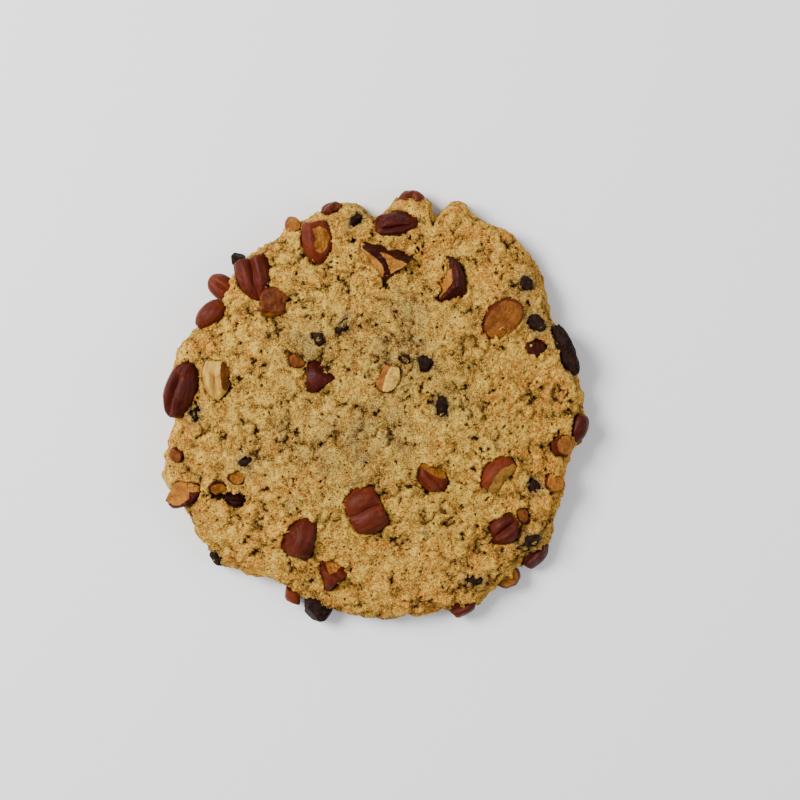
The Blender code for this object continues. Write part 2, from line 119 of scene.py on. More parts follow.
# Single holes and short cracks in the top: place, length, width, the length's direction, and depth.
HOLES = (
    (-28.8, -5.4, 4.4, 0.8, 96, 1.0),
    (-36.9, -6.9, 1.7, 1.4, 0, 1.0),
    (-32.9, -10.2, 1.0, 0.8, 0, 0.8),
    (-23.6, -7.6, 1.8, 1.0, 100, 0.7),
    (-18.7, -5.6, 2.8, 1.6, -20, 0.7),
    (-26.8, -20.1, 2.4, 0.7, -8, 0.8),
    (-19.5, -18.1, 2.4, 0.7, -70, 0.8),
    (-23.2, -21.9, 1.2, 0.9, 0, 0.8),
    (-24.3, -27.7, 1.4, 0.7, -40, 0.8),
    (-38.9, -27.8, 0.9, 0.8, 0, 0.8),
    (-18.9, -11.8, 1.1, 0.7, 30, 0.8),
    (-16.8, -4.1, 1.0, 0.8, 0, 0.8),
    (8.9, -19.3, 2.2, 1.3, -20, 0.7),
    (13.2, -20.3, 1.3, 1.2, 0, 0.9),
    (28.4, -12.6, 2.4, 0.6, 15, 0.8),
    (36.6, -12.5, 2.0, 0.7, -35, 0.8),
    (25.3, -7.3, 2.2, 1.2, -10, 0.8),
    (24.6, -14.6, 1.8, 1.1, 25, 0.6),
    (34.1, -26.5, 3.6, 0.6, -15, 0.9),
    (37.1, -25.9, 3.4, 1.0, 38, 1.0),
    (22.2, -24.2, 1.6, 1.1, 0, 0.9),
    (22.4, -31.2, 2.2, 1.1, 90, 0.6),
    (18.0, -28.6, 1.2, 1.0, 0, 0.7),
    (36.2, -35.5, 1.0, 0.8, 0, 0.8),
    (21.5, -18.2, 1.4, 0.6, 40, 0.8),
    (-2.8, 20.5, 1.7, 0.8, -70, 0.8),
    (4.1, 21.5, 1.9, 1.3, 0, 0.7),
    (9.4, 9.8, 1.0, 0.9, 0, 0.7),
    (9.6, 8.0, 1.0, 0.9, 0, 0.7),
    (0.8, 11.8, 2.0, 1.4, 20, 0.6),
    (-5.8, 10.0, 2.0, 1.3, 50, 0.6),
    (-7.0, 1.3, 3.4, 1.1, -10, 0.9),
    (0.4, -0.9, 1.4, 1.0, 0, 0.8),
    (22.6, 5.9, 2.2, 0.6, 25, 0.9),
    (14.2, 7.7, 3.2, 0.6, 32, 0.8),
    (12.2, 5.8, 2.8, 0.7, 60, 0.8),
    (35.3, 30.6, 2.6, 0.8, 10, 0.9),
    (33.1, 41.1, 2.2, 1.8, 30, 0.7),
    (34.9, 34.6, 2.0, 1.2, 20, 0.7),
    (31.9, 33.0, 2.2, 0.8, 55, 0.8),
    (17.4, 41.7, 1.8, 0.9, 10, 0.7),
    (19.4, 43.9, 1.1, 0.8, 0, 0.7),
    (26.0, 35.8, 2.2, 0.8, -70, 0.6),
    (25.9, 25.5, 1.1, 0.9, 0, 0.7),
    (30.7, 27.4, 1.2, 0.9, 0, 0.7),
    (12.4, 40.5, 1.6, 1.1, 45, 0.8),
    (9.0, 42.5, 1.2, 0.7, 60, 0.6),
    (7.6, 43.8, 1.8, 0.8, -20, 0.8),
    (15.0, 46.0, 1.6, 1.0, -20, 0.7),
    (-5.4, 37.9, 1.8, 1.3, 0, 0.6),
    (-4.4, 35.0, 1.0, 0.8, 0, 0.7),
    (-2.2, 41.2, 0.9, 0.7, 0, 0.7),
    (3.0, 30.8, 2.6, 1.7, 70, 1.1),
    (5.9, 24.0, 1.6, 1.2, 0, 0.7),
    (-5.9, 29.1, 1.2, 0.9, 0, 0.7),
    (-16.7, 25.1, 1.1, 0.9, 0, 0.7),
    (-16.3, 23.1, 2.2, 0.7, 5, 0.9),
    (-17.6, 38.0, 1.6, 0.8, -30, 0.7),
    (-37.4, -21.9, 9.0, 2.4, -4, 1.9),
    (-29.3, 11.9, 2.4, 1.3, 70, 0.9),
    (-32.9, 7.6, 1.7, 0.9, 70, 0.9),
    (-27.3, 14.1, 1.3, 0.9, 60, 0.9),
    (-44.0, 1.4, 1.6, 1.2, 30, 0.9),
    (-43.6, 3.0, 1.0, 0.7, 0, 0.8),
    (-38.4, 1.8, 2.4, 0.6, 5, 0.7),
    (-30.2, 40.2, 2.6, 1.2, -60, 1.0),
    (14.5, -48.2, 1.4, 1.0, 20, 0.8),
    (49.6, 1.8, 1.4, 1.0, 70, 0.6),
)
HOLE_CELL = 6.0  # the side of the squares that the holes are looked up by

# Where the chocolate has stained the crumb: place, reach and strength.
STAINS = (
    (-15.7, 15.8, 8.0, 0.8),
    (6.8, 13.2, 8.5, 0.9),
    (2.0, -5.5, 9.0, 0.7),
    (-18.2, -4.2, 7.5, 0.8),
    (21.0, 2.5, 6.0, 0.6),
    (-32.0, -14.5, 5.0, 0.6),
    (-8.0, -14.0, 8.0, 0.4),
    (39.0, 27.0, 6.0, 0.5),
    (39.5, -33.0, 4.5, 0.7),
    (-12.9, -15.6, 1.2, 1.1),
    (-20.0, -23.5, 1.7, 0.9),
    (31.5, -9.1, 1.5, 0.9),
    (13.1, -30.7, 1.2, 1.0),
    (9.0, 23.0, 9.0, 0.55),
    (-2.0, -9.0, 9.0, 0.45),
)

# Where the three parts of a wander are read from the noise.
WANDER_OFFSETS = (Vector((9.3, -1.5, -7.9)), Vector((3.7, 8.4, 2.2)), Vector((-6.3, 5.2, 12.7)))

UP, DOWN = (0, 0, 1), Vector((0, 0, -1))
OVERHEAD = Vector((0, 0, 40))  # from here the top is looked for, straight down
SKIN = -1.0  # the tone of a facet that still has its skin
TIP_TAPER = 0.28  # how much narrower a kernel is at its tip
GROOVE_WIDTH = 0.13  # half a groove's width, as a share of the kernel's
UPPER_SHARE = 0.6  # of a kernel's thickness, above its widest outline
CHUNK_POWER, KERNEL_POWER = 3.2, 2.3  # 2 is an ellipsoid, and more is blunter
CUT_BLEND, CHIP_BLEND = 0.03, 0.04  # how far the edges of cuts and chips are rounded off
LEAST_REACH = 0.3  # a point that stands out less than this towards a cut or chip is left as it is
SMALL_PIECE = 7.5  # a piece is chipped deeper when it is no longer than this
CHIP_LEAST, CHIP_MOST, SMALL_CHIP_MOST = 0.92, 0.78, 0.66  # the shares of the outline that are left

# How often the triangles of the spheres are divided that pieces are made of: for the search trees,
# for small pieces and for long kernels, and the length from which a kernel is long.
TREE_DETAIL, SMALL_DETAIL, LONG_DETAIL = 4, 5, 6
LONG_KERNEL = 10.0

# The pecan pieces, close to the solids: length, width, thickness, outer groove, inner groove, turns
# and cuts. Each cut also has its flesh's tone, from 0, rust, to 1, cream, and each piece ends with its
# skin's tone, from -1, nearly black, over 0, maroon, to 1, cream.
PECANS = {
    "pecan_heart": (15.0, 9.0, 7.0, 1.4, 0, (-14, 0, 15), (((0, 1, 0), 3.0, 0.3),), 0.2),
    "pecan_rough": (9.6, 8.2, 6.5, 0, 0, (0, 0, -35),
                    ((UP, 1.9, 0.02), ((1, 0.3, 0), 3.0, 0.1), ((-0.8, -0.6, 0), 3.1, 0.3),
                     ((0, 1, 0), 3.4, 0.2), ((0.5, -0.7, 0.5), 2.6, 0.35)), 0.4),
    "pecan_comma": (12.5, 7.6, 6.6, 0, 0, (0, 0, 5),
                    (((0.5, 0.12, 0.85), 2.8, 0.45), ((0, 1, 0), 4.6, SKIN)), 0.4),
    "pecan_ridge": (13.4, 5.6, 5.6, 0.7, 0, (0, -25, 99), (((0.15, 1, 0), 5.2, SKIN),), 0.0),
    "pecan_section": (16.0, 17.0, 13.0, 0, 0, (68, 0, 166),
                      (((0, 1, 0), 2.2, 0.55), ((0, -1, 0), 4.0, 0.3), (UP, 3.9, SKIN),
                       ((0.69, 0, -0.72), 1.5, 0.3), ((-0.8, 0, -0.6), 2.9, 0.3)), -0.5),
    "pecan_side": (15.0, 9.2, 8.0, 0, 0.8, (0, 0, 10),
                   (((-0.62, 0.35, 0.7), 1.6, 0.5), ((0.1, -0.75, 0.65), 3.4, SKIN)), -0.1),
    "pecan_oval": (11.8, 8.0, 6.0, 0, 0, (0, -10, -46), (((0.36, 0, 0.93), 1.3, 0.18),), 0.3),
    "pecan_middle": (8.8, 5.8, 5.4, 0, 0, (0, 0, -34),
                     (((0.45, 0.1, 0.89), 1.35, 0.95), ((-0.55, -0.15, 0.82), 1.5, 0.32),
                      ((0, 1, 0), 3.5, 0.3), ((0, -1, 0), 3.7, 0.3)), 0.5),
    "pecan_wedge": (8.4, 9.4, 6.4, 0, 0, (0, 0, 0),
                    (((-1, 0.05, 0), 3.3, 0.3), ((0.56, -0.83, 0), 2.1, SKIN),
                     ((0.45, 0.7, 0.55), 2.9, SKIN)), 0.0),
    "pecan_scrap": (4.6, 3.4, 3.6, 0, 0, (0, 0, 50), (((0.4, 0, 0.9), 1.0, 0.1),), 0.35),
    "pecan_cream": (10.6, 6.8, 5.4, 0.9, 1.1, (0, 168, 3),
                    (((0, 1, 0), 4.4, 0.9), ((-0.87, 0, -0.48), 2.3, 0.15)), 0.95),
    "pecan_slice": (10.4, 6.8, 5.6, 0, 0, (0, -4, -66), (((-0.3, 0.13, 0.95), 1.0, 0.5),), 0.0),
    "pecan_chip_a": (4.8, 3.6, 4.4, 0, 0, (0, 0, -76), (((0.45, 0.3, 0.85), 1.0, 0.4),), 0.0),
    "pecan_chip_b": (5.0, 3.6, 4.2, 0, 0, (0, 0, -70), (((-0.35, 0.4, 0.85), 0.9, 0.4),), 0.0),
    "pecan_chip_c": (6.2, 4.0, 4.6, 0.5, 0, (0, 0, -96), (((0, -1, 0), 2.6, SKIN),), -0.8),
    "pecan_cross": (13.0, 12.6, 8.0, 1.0, 0, (0, 0, -66),
                    (((0, 1, 0), 4.3, 0.1), ((0, -1, 0), 4.3, 0.1)), 0.28),
    "pecan_drop": (13.5, 8.6, 6.8, 0, 0, (4, 0, 158),
                   (((0, 1, 0), 4.8, SKIN), ((0.8, 0.2, 0.55), 3.1, SKIN)), 0.15),
    "pecan_vee": (10.6, 10.4, 6.6, 0, 0.8, (0, 0, -15),
                  (((0.1, 0.74, 0.66), 1.9, 0.45), ((-0.85, -0.45, 0.25), 3.6, SKIN),
                   ((0.8, -0.55, 0.2), 2.4, SKIN)), 0.2),
    "pecan_low": (11.0, 7.4, 6.2, 0.6, 0, (0, 0, 38), (((0.75, 0.35, 0.65), 2.5, 0.3),), 0.35),
    "pecan_split": (11.0, 7.2, 6.0, 0, 0, (0, 0, -40),
                    (((0.75, 0, 0.66), 1.9, 0.65), ((0, -1, 0), 4.5, 0.3)), 0.5),
    "pecan_wrinkled": (9.6, 7.8, 6.8, 1.3, 0, (0, 0, -52), (((0, 1, 0), 3.8, 0.4),), 0.12),
    "pecan_crumb": (4.6, 3.4, 3.6, 0, 0, (0, 0, 40), (((0.5, 0.3, 0.8), 0.9, 0.1),), 0.05),
    "pecan_dark": (6.2, 5.0, 4.8, 0, 0, (0, 0, 30),
                   (((0, 1, 0), 2.2, SKIN), ((0.3, 0.1, 0.95), 1.6, SKIN)), -0.3),
    "pecan_tan": (6.0, 5.2, 4.8, 0, 0, (0, 0, 20),
                  (((0.5, 0.2, 0.85), 1.1, 0.45), ((0, -1, 0.2), 2.0, 0.1)), 0.3),
    "rim_pecan_half": (14.8, 7.8, 7.0, 1.6, 0, (0, -32, -20), (((0, -1, 0), 7.0, 0.2),), 0.05),
    "rim_pecan_bean": (9.0, 5.6, 5.2, 0, 0, (0, 0, -48), (((0, 1, 0), 4.2, 0.3),), 0.3),
    "rim_pecan_corner": (9.4, 6.0, 4.8, 0.4, 0, (0, 0, 52), (((0, -1, 0), 4.1, 0.3),), 0.42),
    "rim_pecan_pale": (5.8, 4.4, 4.4, 0, 0, (0, 0, 10), (((0, 0.4, 0.9), 1.6, 0.35),), 0.6),
    "rim_pecan_flake": (6.6, 3.0, 4.0, 0, 0, (0, 0, -72), (((0, 0.5, 0.8), 1.4, 0.0),), 0.2),
    "rim_pecan_tip": (9.0, 7.8, 5.4, 1.7, 0, (12, 0, -8), (((0, -1, 0), 3.4, 0.3),), 0.25),
    "rim_pecan_right": (8.0, 5.0, 5.2, 0, 0, (0, 30, -14), (((0, 1, 0), 3.4, 0.1),), 0.05),
    "rim_pecan_face": (6.4, 5.4, 5.2, 0, 0, (0, 18, 10),
                       (((0.35, 0, 0.94), 1.5, 0.4), ((0, 1, 0), 2.6, 0.3)), 0.12),
    "rim_pecan_south_a": (8.6, 6.8, 4.8, 0.5, 0, (0, 0, -58), (((0, 1, 0), 3.6, 0.3),), 0.2),
    "rim_pecan_south_b": (7.0, 6.0, 4.6, 0, 0, (0, 0, -44), (((0, 0, 1), 1.4, 0.3),), 0.3),
    "rim_pecan_south_c": (9.6, 6.4, 4.4, 0.5, 0, (0, 0, -38), (((0, -1, 0), 4.4, 0.3),), 0.08),
    "rim_pecan_south_d": (7.4, 3.8, 4.4, 0, 0, (0, 0, 28), (((0.9, 0, 0.3), 1.6, 0.45),), 0.5),
    "rim_pecan_west": (4.6, 3.6, 4.2, 0, 0, (0, -20, 30), (((0.3, 0, 0.95), 1.4, 0.1),), 0.2),
}

# The chocolate pieces, close to the solids: length, width, thickness and turns.
CHOCOLATE = {
    "chocolate_twin_a": (4.8, 3.6, 3.8, (0, 0, 60)),
    "chocolate_twin_b": (7.6, 3.2, 3.6, (0, 0, -46)),
    "chocolate_streak": (7.6, 3.0, 3.8, (0, 0, -8)),
    "chocolate_spot_a": (4.8, 4.2, 3.4, (0, 0, 20)),
    "chocolate_spot_b": (4.6, 3.4, 3.2, (0, 0, 70)),
    "chocolate_north": (5.0, 3.4, 3.4, (0, 0, 25)),
    "chocolate_elbow": (6.6, 4.4, 4.0, (0, 0, 46)),
    "chocolate_west": (5.6, 2.4, 3.2, (0, 0, -20)),
    "chocolate_smear_a": (5.2, 3.8, 3.4, (0, 0, 10)),
    "chocolate_smear_b": (5.2, 3.8, 2.8, (0, 0, -70)),
    "chocolate_south": (6.2, 2.8, 3.2, (0, 0, -85)),
    "chocolate_smear_c": (5.4, 2.8, 3.2, (0, 0, -62)),
    "rim_chocolate_east": (12.8, 3.7, 5.6, (0, 28, 23)),
    "rim_chocolate_south": (8.2, 6.8, 5.4, (0, 0, 20)),
    "rim_chocolate_sill": (10.4, 4.2, 3.6, (0, 0, -87)),
    "rim_chocolate_north": (5.2, 2.6, 3.8, (0, 0, -54)),
    "rim_chocolate_corner": (5.4, 3.8, 3.0, (0, 0, 44)),
    "rim_chocolate_west": (5.8, 4.2, 4.2, (0, -30, 45)),
}

# Outlines of the bare flesh on some cut faces, in plan. Skin shows on the rest of the face.
FLESH_AREAS = {
    "pecan_comma": (
        ((-14.9, 44.5), (-13.0, 45.3), (-11.3, 44.4), (-10.6, 42.3), (-11.3, 39.9), (-13.2, 37.9),
         (-14.8, 38.9), (-14.6, 40.8), (-14.0, 42.4)),
    ),
    "pecan_section": (
        ((-2.2, 39.5), (-0.7, 38.5), (1.1, 37.2), (2.5, 35.5), (2.9, 34.0), (2.5, 32.8),
         (1.1, 33.5), (-0.7, 35.5), (-1.9, 37.7)),
        ((1.6, 39.0), (3.3, 38.5), (5.0, 37.7), (6.8, 36.7), (8.7, 36.0), (7.2, 34.8),
         (5.8, 34.3), (4.5, 33.5), (4.0, 35.0), (3.3, 37.0)),
    ),
    "pecan_side": (
        ((13.7, 36.0), (15.7, 37.0), (17.4, 37.2), (17.4, 36.0), (16.9, 34.5), (17.6, 33.8),
         (18.4, 34.8), (19.4, 34.8), (19.7, 33.0), (19.6, 31.3), (18.1, 29.3), (16.6, 27.6),
         (15.2, 28.6), (14.2, 30.8)),
    ),
    "pecan_vee": (
        ((-11.8, -37.8), (-7.4, -37.6), (-7.9, -39.3), (-9.1, -40.6), (-10.8, -41.1),
         (-11.6, -39.8)),
    ),
    "pecan_slice": (
        ((-52.4, -22.2), (-51.3, -19.8), (-50.0, -18.6), (-48.1, -18.3), (-45.6, -18.8),
         (-42.8, -19.5), (-41.8, -20.5), (-43.8, -20.8), (-45.8, -20.8), (-45.8, -22.5),
         (-47.3, -23.5), (-49.8, -24.0), (-51.3, -23.3)),
    ),
}

# Pieces whose outline is smooth but for their cuts, not chopped all round.
WHOLE = (
    "pecan_heart", "pecan_comma", "pecan_oval", "pecan_cream", "pecan_section", "pecan_side",
    "pecan_cross", "pecan_split", "pecan_wedge", "rim_pecan_half", "rim_pecan_bean",
    "rim_pecan_corner", "rim_pecan_tip", "rim_pecan_right", "rim_chocolate_east",
)

# The camera's view: the middle of the picture on the cookie's top, what it spans there, and its angle.
VIEW_MIDDLE, VIEW_HEIGHT = (6.75, 2.0), 7.0
VIEW_SPAN = 200.0
VIEW_DISTANCE, VIEW_TILT = 560.0, 3.5
SENSOR = 36.0

# The soft lamps, in metres and watts: name, place, size, power and colour. They face the cookie.
LAMPS = (
    ("window", (-0.62, 0.3, 0.74), 0.45, 20.5, (1.0, 0.98, 0.95)),
    ("far window", (0.75, -0.1, 0.6), 0.5, 3.2, (0.94, 0.97, 1.0)),
)
ROOM_COLOUR, ROOM_LIGHT = (0.96, 0.975, 1.0, 1), 0.55
FLOOR_SIZE, FLOOR_ROUGHNESS = 3.0, 0.55  # the size is in metres


def wrapped(angle):
    return (angle + 180) % 360 - 180


def outline(angle):
    return sum(h * math.exp(-((wrapped(angle - at) / width) ** 2)) for at, width, h in LOBES)


def clamped(value, low=0.0, high=1.0):
    return max(low, min(high, value))


def fade(value, start, end):
    """0 at start, 1 at end, and smooth between them."""
    share = clamped((value - start) / (end - start))
    return share * share * (3 - 2 * share)


def wander(point):
    """Three smooth numbers for a place, each from -1 to 1, which move a point about."""
    return Vector(noise.noise(point + offset) for offset in WANDER_OFFSETS)


def relief(point):
    """The solid's relief, with wandering crags, and how deep the point lies in one, from 0 to 1."""
    swell = noise.noise(point / SWELL_SIZE)
    lump = noise.noise(point / LUMP_SIZE + Vector((7.3, 1.9, 4.1)))
    wandered = point + wander(point / 3.1) * 1.6
    near, second = noise.voronoi(wandered / CRAG_SIZE)[0][:2]
    crag = max(0.0, 1 - (second - near) / CRAG_WIDTH) * fade(noise.noise(point / 4.3), -0.3, 0.3)
    return SWELL_HEIGHT * swell + LUMP_HEIGHT * lump - CRAG_DEPTH * crag**2, crag


def pit_depth(point):
    """How deep a pit of the crumb is at a point. Its size is drawn from the place of its middle."""
    distances, middles = noise.voronoi(point / PIT_SPACING)
    size = PIT_LARGEST * clamped(0.3 + 1.7 * noise.noise(middles[0] * 7.7))
    far = distances[0] * PIT_SPACING * (1 + 0.9 * noise.noise(point / 0.6))
    return 1.6 * size * (1 - (far / size) ** 2) if far < size else 0.0


def hole_table():
    """The holes by the square of the top that they may reach into."""
    cells = {}
    for hole in HOLES:
        column, row = math.floor(hole[0] / HOLE_CELL), math.floor(hole[1] / HOLE_CELL)
        for i in (-1, 0, 1):
            for j in (-1, 0, 1):
                cells.setdefault((column + i, row + j), []).append(hole)
    return cells


HOLES_BY_CELL = hole_table()


def hole_depth(point):
    """How deep the single holes and cracks are at a point."""
    depth = 0.0
    for x, y, length, width, direction, deepest in HOLES_BY_CELL.get(
            (math.floor(point.x / HOLE_CELL), math.floor(point.y / HOLE_CELL)), ()):
        turn = math.radians(direction)
        along = (point.x - x) * math.cos(turn) + (point.y - y) * math.sin(turn)
        aside = (point.y - y) * math.cos(turn) - (point.x - x) * math.sin(turn)
        aside += 0.7 * noise.noise(point / 1.1)
        far = math.hypot(2 * along / length, 2 * aside / width) * (1 + 0.8 * noise.noise(point / 0.55))
        depth = max(depth, deepest * (1 - far * far))
    return depth


def cell_height(point, size):
    """The height of rounded lumps of a size over their mean, in shares of the size."""
    return CELL_MEAN - noise.voronoi(point / size)[0][0]


def crumb(point):
    """The crumb's height over the solid's relief, and its painted shading: 1, the darkest painted shade,
    in a hole, 0 level, and -1, a painted highlight, on a tip.
    """
    warped = point + wander(point / 1.7) * 0.8
    wandered = warped + wander(point / 4.0) * 2.2
    grain = cell_height(warped, GRAIN_SIZE)
    clump = cell_height(warped + Vector((3.1, 8.2, 0.6)), CLUMP_SIZE)
    near, second = noise.voronoi(wandered / NUGGET_SIZE)[0][:2]
    nugget = CELL_MEAN - near
    rough = fade(noise.noise(point / 7.0 + Vector((2.2, 5.1, 8.3))), -0.35, 0.35)
    valley = (1 - fade(second - near, 0.0, 0.3)) * rough
    fine = noise.noise(point / FINE_SIZE) + 0.6 * noise.noise(point / (0.6 * FINE_SIZE))
    hole = max(pit_depth(point), hole_depth(point))
    height = GRAIN_HEIGHT * grain + CLUMP_HEIGHT * clump * (0.6 + 0.6 * rough) + FINE_HEIGHT * fine
    height += NUGGET_HEIGHT * nugget * (0.4 + 0.6 * rough) - VALLEY_DEPTH * valley
    # The painted shading: painted shade in valleys and holes, painted highlights where grains, clumps and
    # nuggets stand up.
    painted_shading = 0.5 * valley - 0.85 * grain - 0.9 * clump - 0.7 * nugget - 0.35 * fine - 0.08
    return height - hole, clamped(painted_shading + hole * 2.2, -1.0)


def place_of(angle, share):
    """The place on the crust, seen from above, at a share of the way to the outline."""
    radius = share * (MEAN_RADIUS + outline(angle) * share**OUTLINE_BLEND)
    return Vector((math.cos(math.radians(angle)) * radius, math.sin(math.radians(angle)) * radius, 0))


def profile():
    """The rings of the dough, from the middle of the top round the rim to the middle of the base.

    Each is its share of the radius, height, how far the crust faces outwards and upwards, and spacing.
    """
    rings = round(SHOULDER * MEAN_RADIUS / TOP_SPACING)
    for ring in range(1, rings + 1):
        share = SHOULDER * ring / rings
        height = SHOULDER_HEIGHT + DOME * (1 - (ring / rings) ** 2) ** DOME_POWER
        yield share, height, 0.0, 1.0, TOP_SPACING
    rings = round(RIM_LENGTH / RIM_SPACING)
    for ring in range(1, rings + 1):
        turn = math.pi * ring / rings
        out, up = math.sin(turn), math.cos(turn)
        inner, height = (SHOULDER, SHOULDER_HEIGHT) if up > 0 else (BASE_SHARE, 0.0)
        share = inner + (1 - inner) * out
        yield share, WIDEST_HEIGHT + abs(up) * (height - WIDEST_HEIGHT), out, up, RIM_SPACING
    share, spacing = BASE_SHARE, RIM_SPACING
    while share * MEAN_RADIUS > 2 * spacing:
        spacing = min(spacing * SPACING_GROWTH, BASE_SPACING)
        share -= spacing / MEAN_RADIUS
        yield share, 0.0, 0.0, -1.0, spacing


def stitched(first, count, second, second_count):
    """Triangles between two rings of points with different counts."""
    faces, i, j = [], 0, 0
    while i < count or j < second_count:
        here, there = first + i % count, second + j % second_count
        if j == second_count or (i < count and (i + 1) * second_count <= (j + 1) * count):
            faces.append((here, there, first + (i + 1) % count))
            i += 1
        else:
            faces.append((here, there, second + (j + 1) % second_count))
            j += 1
    return faces


def mesh_object(name, points, faces):
    mesh = bpy.data.meshes.new(name)
    mesh.from_pydata([point * MM for point in points], [], faces)
    mesh.polygons.foreach_set("use_smooth", [True] * len(mesh.polygons))
    mesh.validate()
    obj = bpy.data.objects.new(name, mesh)
    bpy.context.scene.collection.objects.link(obj)
    return obj


def set_colours(obj, name, values):
    """Keeps three numbers for each point in a colour attribute, which the materials read."""
    layer = obj.data.attributes.new(name, "FLOAT_COLOR", "POINT")
    layer.data.foreach_set("color", [number for value in values for number in (*value, 1.0)])


def set_vectors(obj, name, values):
    layer = obj.data.attributes.new(name, "FLOAT_VECTOR", "POINT")
    layer.data.foreach_set("vector", [number for value in values for number in value])


def unit_sphere(divisions):
    """The points and triangles of a sphere of even triangles."""
    bpy.ops.mesh.primitive_ico_sphere_add(subdivisions=divisions, radius=1)
    ball = bpy.context.object
    points = [vertex.co.normalized() for vertex in ball.data.vertices]
    faces = [tuple(face.vertices) for face in ball.data.polygons]
    bpy.data.meshes.remove(ball.data)
    return points, faces


SPHERES = {divisions: unit_sphere(divisions) for divisions in (TREE_DETAIL, SMALL_DETAIL, LONG_DETAIL)}


def in_place(points, turns, node):
    """Turns the points and moves the middle of their box to the middle of the solid's box."""
    turn = Euler([math.radians(angle) for angle in turns]).to_matrix()
    turned = [turn @ point for point in points]
    low = Vector(min(point[i] for point in turned) for i in range(3))
    high = Vector(max(point[i] for point in turned) for i in range(3))
    node_low, node_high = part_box(node)
    move = (node_low + node_high) / (2 * MM) - (low + high) / 2
    return [point + move for point in turned]


def kernel_point(direction, length, width, thickness, outer, inner):
    """The point of a whole pecan half that a direction goes to: two lobes, tapered to the tip at -Y."""
    direction = direction / sum(abs(part) ** KERNEL_POWER for part in direction) ** (1 / KERNEL_POWER)
    taper = 1 - TIP_TAPER * max(0.0, -direction.y) ** 2
    x = direction.x * width / 2 * taper
    y = direction.y * length / 2
    z = direction.z * thickness * (UPPER_SHARE if direction.z > 0 else 1 - UPPER_SHARE) * taper
    dip = math.exp(-((x / (GROOVE_WIDTH * width)) ** 2)) * (1 - direction.y**2)
    return Vector((x, y, z - dip * (outer if direction.z > 0 else -inner)))


def chips_of(name, length, width):
    """Small flats all round a chopped piece, which make its outline angular: direction and distance.

    Pieces with a whole outline have none.
    """
    draw = random.Random(name)
    least = CHIP_MOST if length > SMALL_PIECE else SMALL_CHIP_MOST
    flats, angle = [], draw.uniform(0, 60)
    while angle < 360:
        turn = math.radians(angle)
        side = Vector((math.cos(turn), math.sin(turn), draw.uniform(-0.2, 0.6)))
        reach = 0.5 / math.hypot(side.x / width, side.y / length)
        flats.append((side.normalized(), reach * draw.uniform(least, CHIP_LEAST)))
        angle += draw.uniform(45, 80)
    return [] if name in WHOLE else flats


def soft_smaller(first, second, blend):
    """The smaller of two numbers, rounded off where they are nearly alike."""
    near = max(blend - abs(first - second), 0.0) / blend
    return min(first, second) - near * near * blend / 4


def pecan_points(name, divisions):
    """A pecan piece's points about its own middle, and at each the flesh that shows and its tone."""
    length, width, thickness, outer, inner, _, cuts, _ = PECANS[name]
    seed = Vector((length * 3.1, width * 5.7, thickness * 9.3))
    flats = chips_of(name, length, width)
    points, looks = [], []
    for direction in SPHERES[divisions][0]:
        point = kernel_point(direction, length, width, thickness, outer, inner)
        along = Vector((point.x * 0.7, point.y * 0.2, point.z * 0.7)) + seed
        wrinkle = 0.22 * noise.noise(along) + 0.05 * noise.noise(along * 2.7)
        if (outer if direction.z > 0 else inner) > 0:
            crease = point.x + 0.5 * noise.noise(Vector((0, point.y * 0.3, 0)) + seed)
            wrinkle -= 0.45 * math.exp(-((crease / 0.3) ** 2)) * (1 - direction.y**4)
        keep, cut_away, flesh, tone = 1.0, 0.0, 0.0, 0.3
        for normal, distance, cut_tone in cuts:
            reach = Vector(normal).normalized().dot(point)
            if reach > LEAST_REACH:
                rough = 2.0 if 0 <= cut_tone < 0.1 else 1.0
                uneven = broken(point * min(1.0, distance / reach), seed) * rough
                ratio = (distance + uneven) / reach
                keep = soft_smaller(keep, ratio, CUT_BLEND)
                bare = fade(1 - ratio, 0.0, CUT_BLEND)
                if bare > cut_away:
                    cut_away, flesh, tone = bare, (0.0 if cut_tone == SKIN else bare), cut_tone
        for normal, distance in flats:
            reach = normal.dot(point)
            if reach > LEAST_REACH:
                chipped = 0.7 * broken(point * min(1.0, distance / reach), seed)
                keep = soft_smaller(keep, (distance + chipped) / reach, CHIP_BLEND)
        points.append(point * keep * (1 + wrinkle * (1 - cut_away) / max(1.0, point.length)))
        looks.append((flesh, max(0.0, tone)))
    return points, looks


def broken(point, seed):
    """How far a broken face of a kernel stands out of the plane of its cut."""
    coarse = 0.4 * noise.noise(point * 0.4 + seed) + 0.16 * noise.noise(point * 1.5 + seed)
    return coarse + 0.07 * noise.noise(point * 3.6 + seed)


def flesh_share(areas, point):
    """1 inside the outlines, 0 outside them, and between at their edges, which are slightly uneven."""
    x = point.x + 0.12 * noise.noise(point * 1.3)
    y = point.y + 0.12 * noise.noise(point * 1.3 + Vector((9, 9, 9)))
    best = -9.0
    for area in areas:
        inside, near = False, 9.0
        for (x0, y0), (x1, y1) in zip(area, area[1:] + area[:1]):
            dx, dy = x1 - x0, y1 - y0
            along = clamped(((x - x0) * dx + (y - y0) * dy) / (dx**2 + dy**2))
            near = min(near, math.hypot(x - x0 - along * dx, y - y0 - along * dy))
            if (y0 > y) != (y1 > y) and x < x0 + (y - y0) * dx / dy:
                inside = not inside
        best = max(best, near if inside else -near)
    return fade(best, -0.08, 0.12)


def add_pecan(name, material):
    length, turns, skin = PECANS[name][0], PECANS[name][5], PECANS[name][-1]
    divisions = LONG_DETAIL if length > LONG_KERNEL else SMALL_DETAIL
    points, looks = pecan_points(name, divisions)
    placed = in_place(points, turns, name)
    if name in FLESH_AREAS:
        shares = [flesh_share(FLESH_AREAS[name], point) for point in placed]
        looks = [(flesh * share, tone) for (flesh, tone), share in zip(looks, shares)]
    obj = mesh_object("kernel_" + name, placed, SPHERES[divisions][1])
    set_colours(obj, "kernel_look", [(flesh, skin, tone) for flesh, tone in looks])
    set_vectors(obj, "kernel_place", points)
    obj.data.materials.append(material)
    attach(obj, "root")
    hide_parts(name)


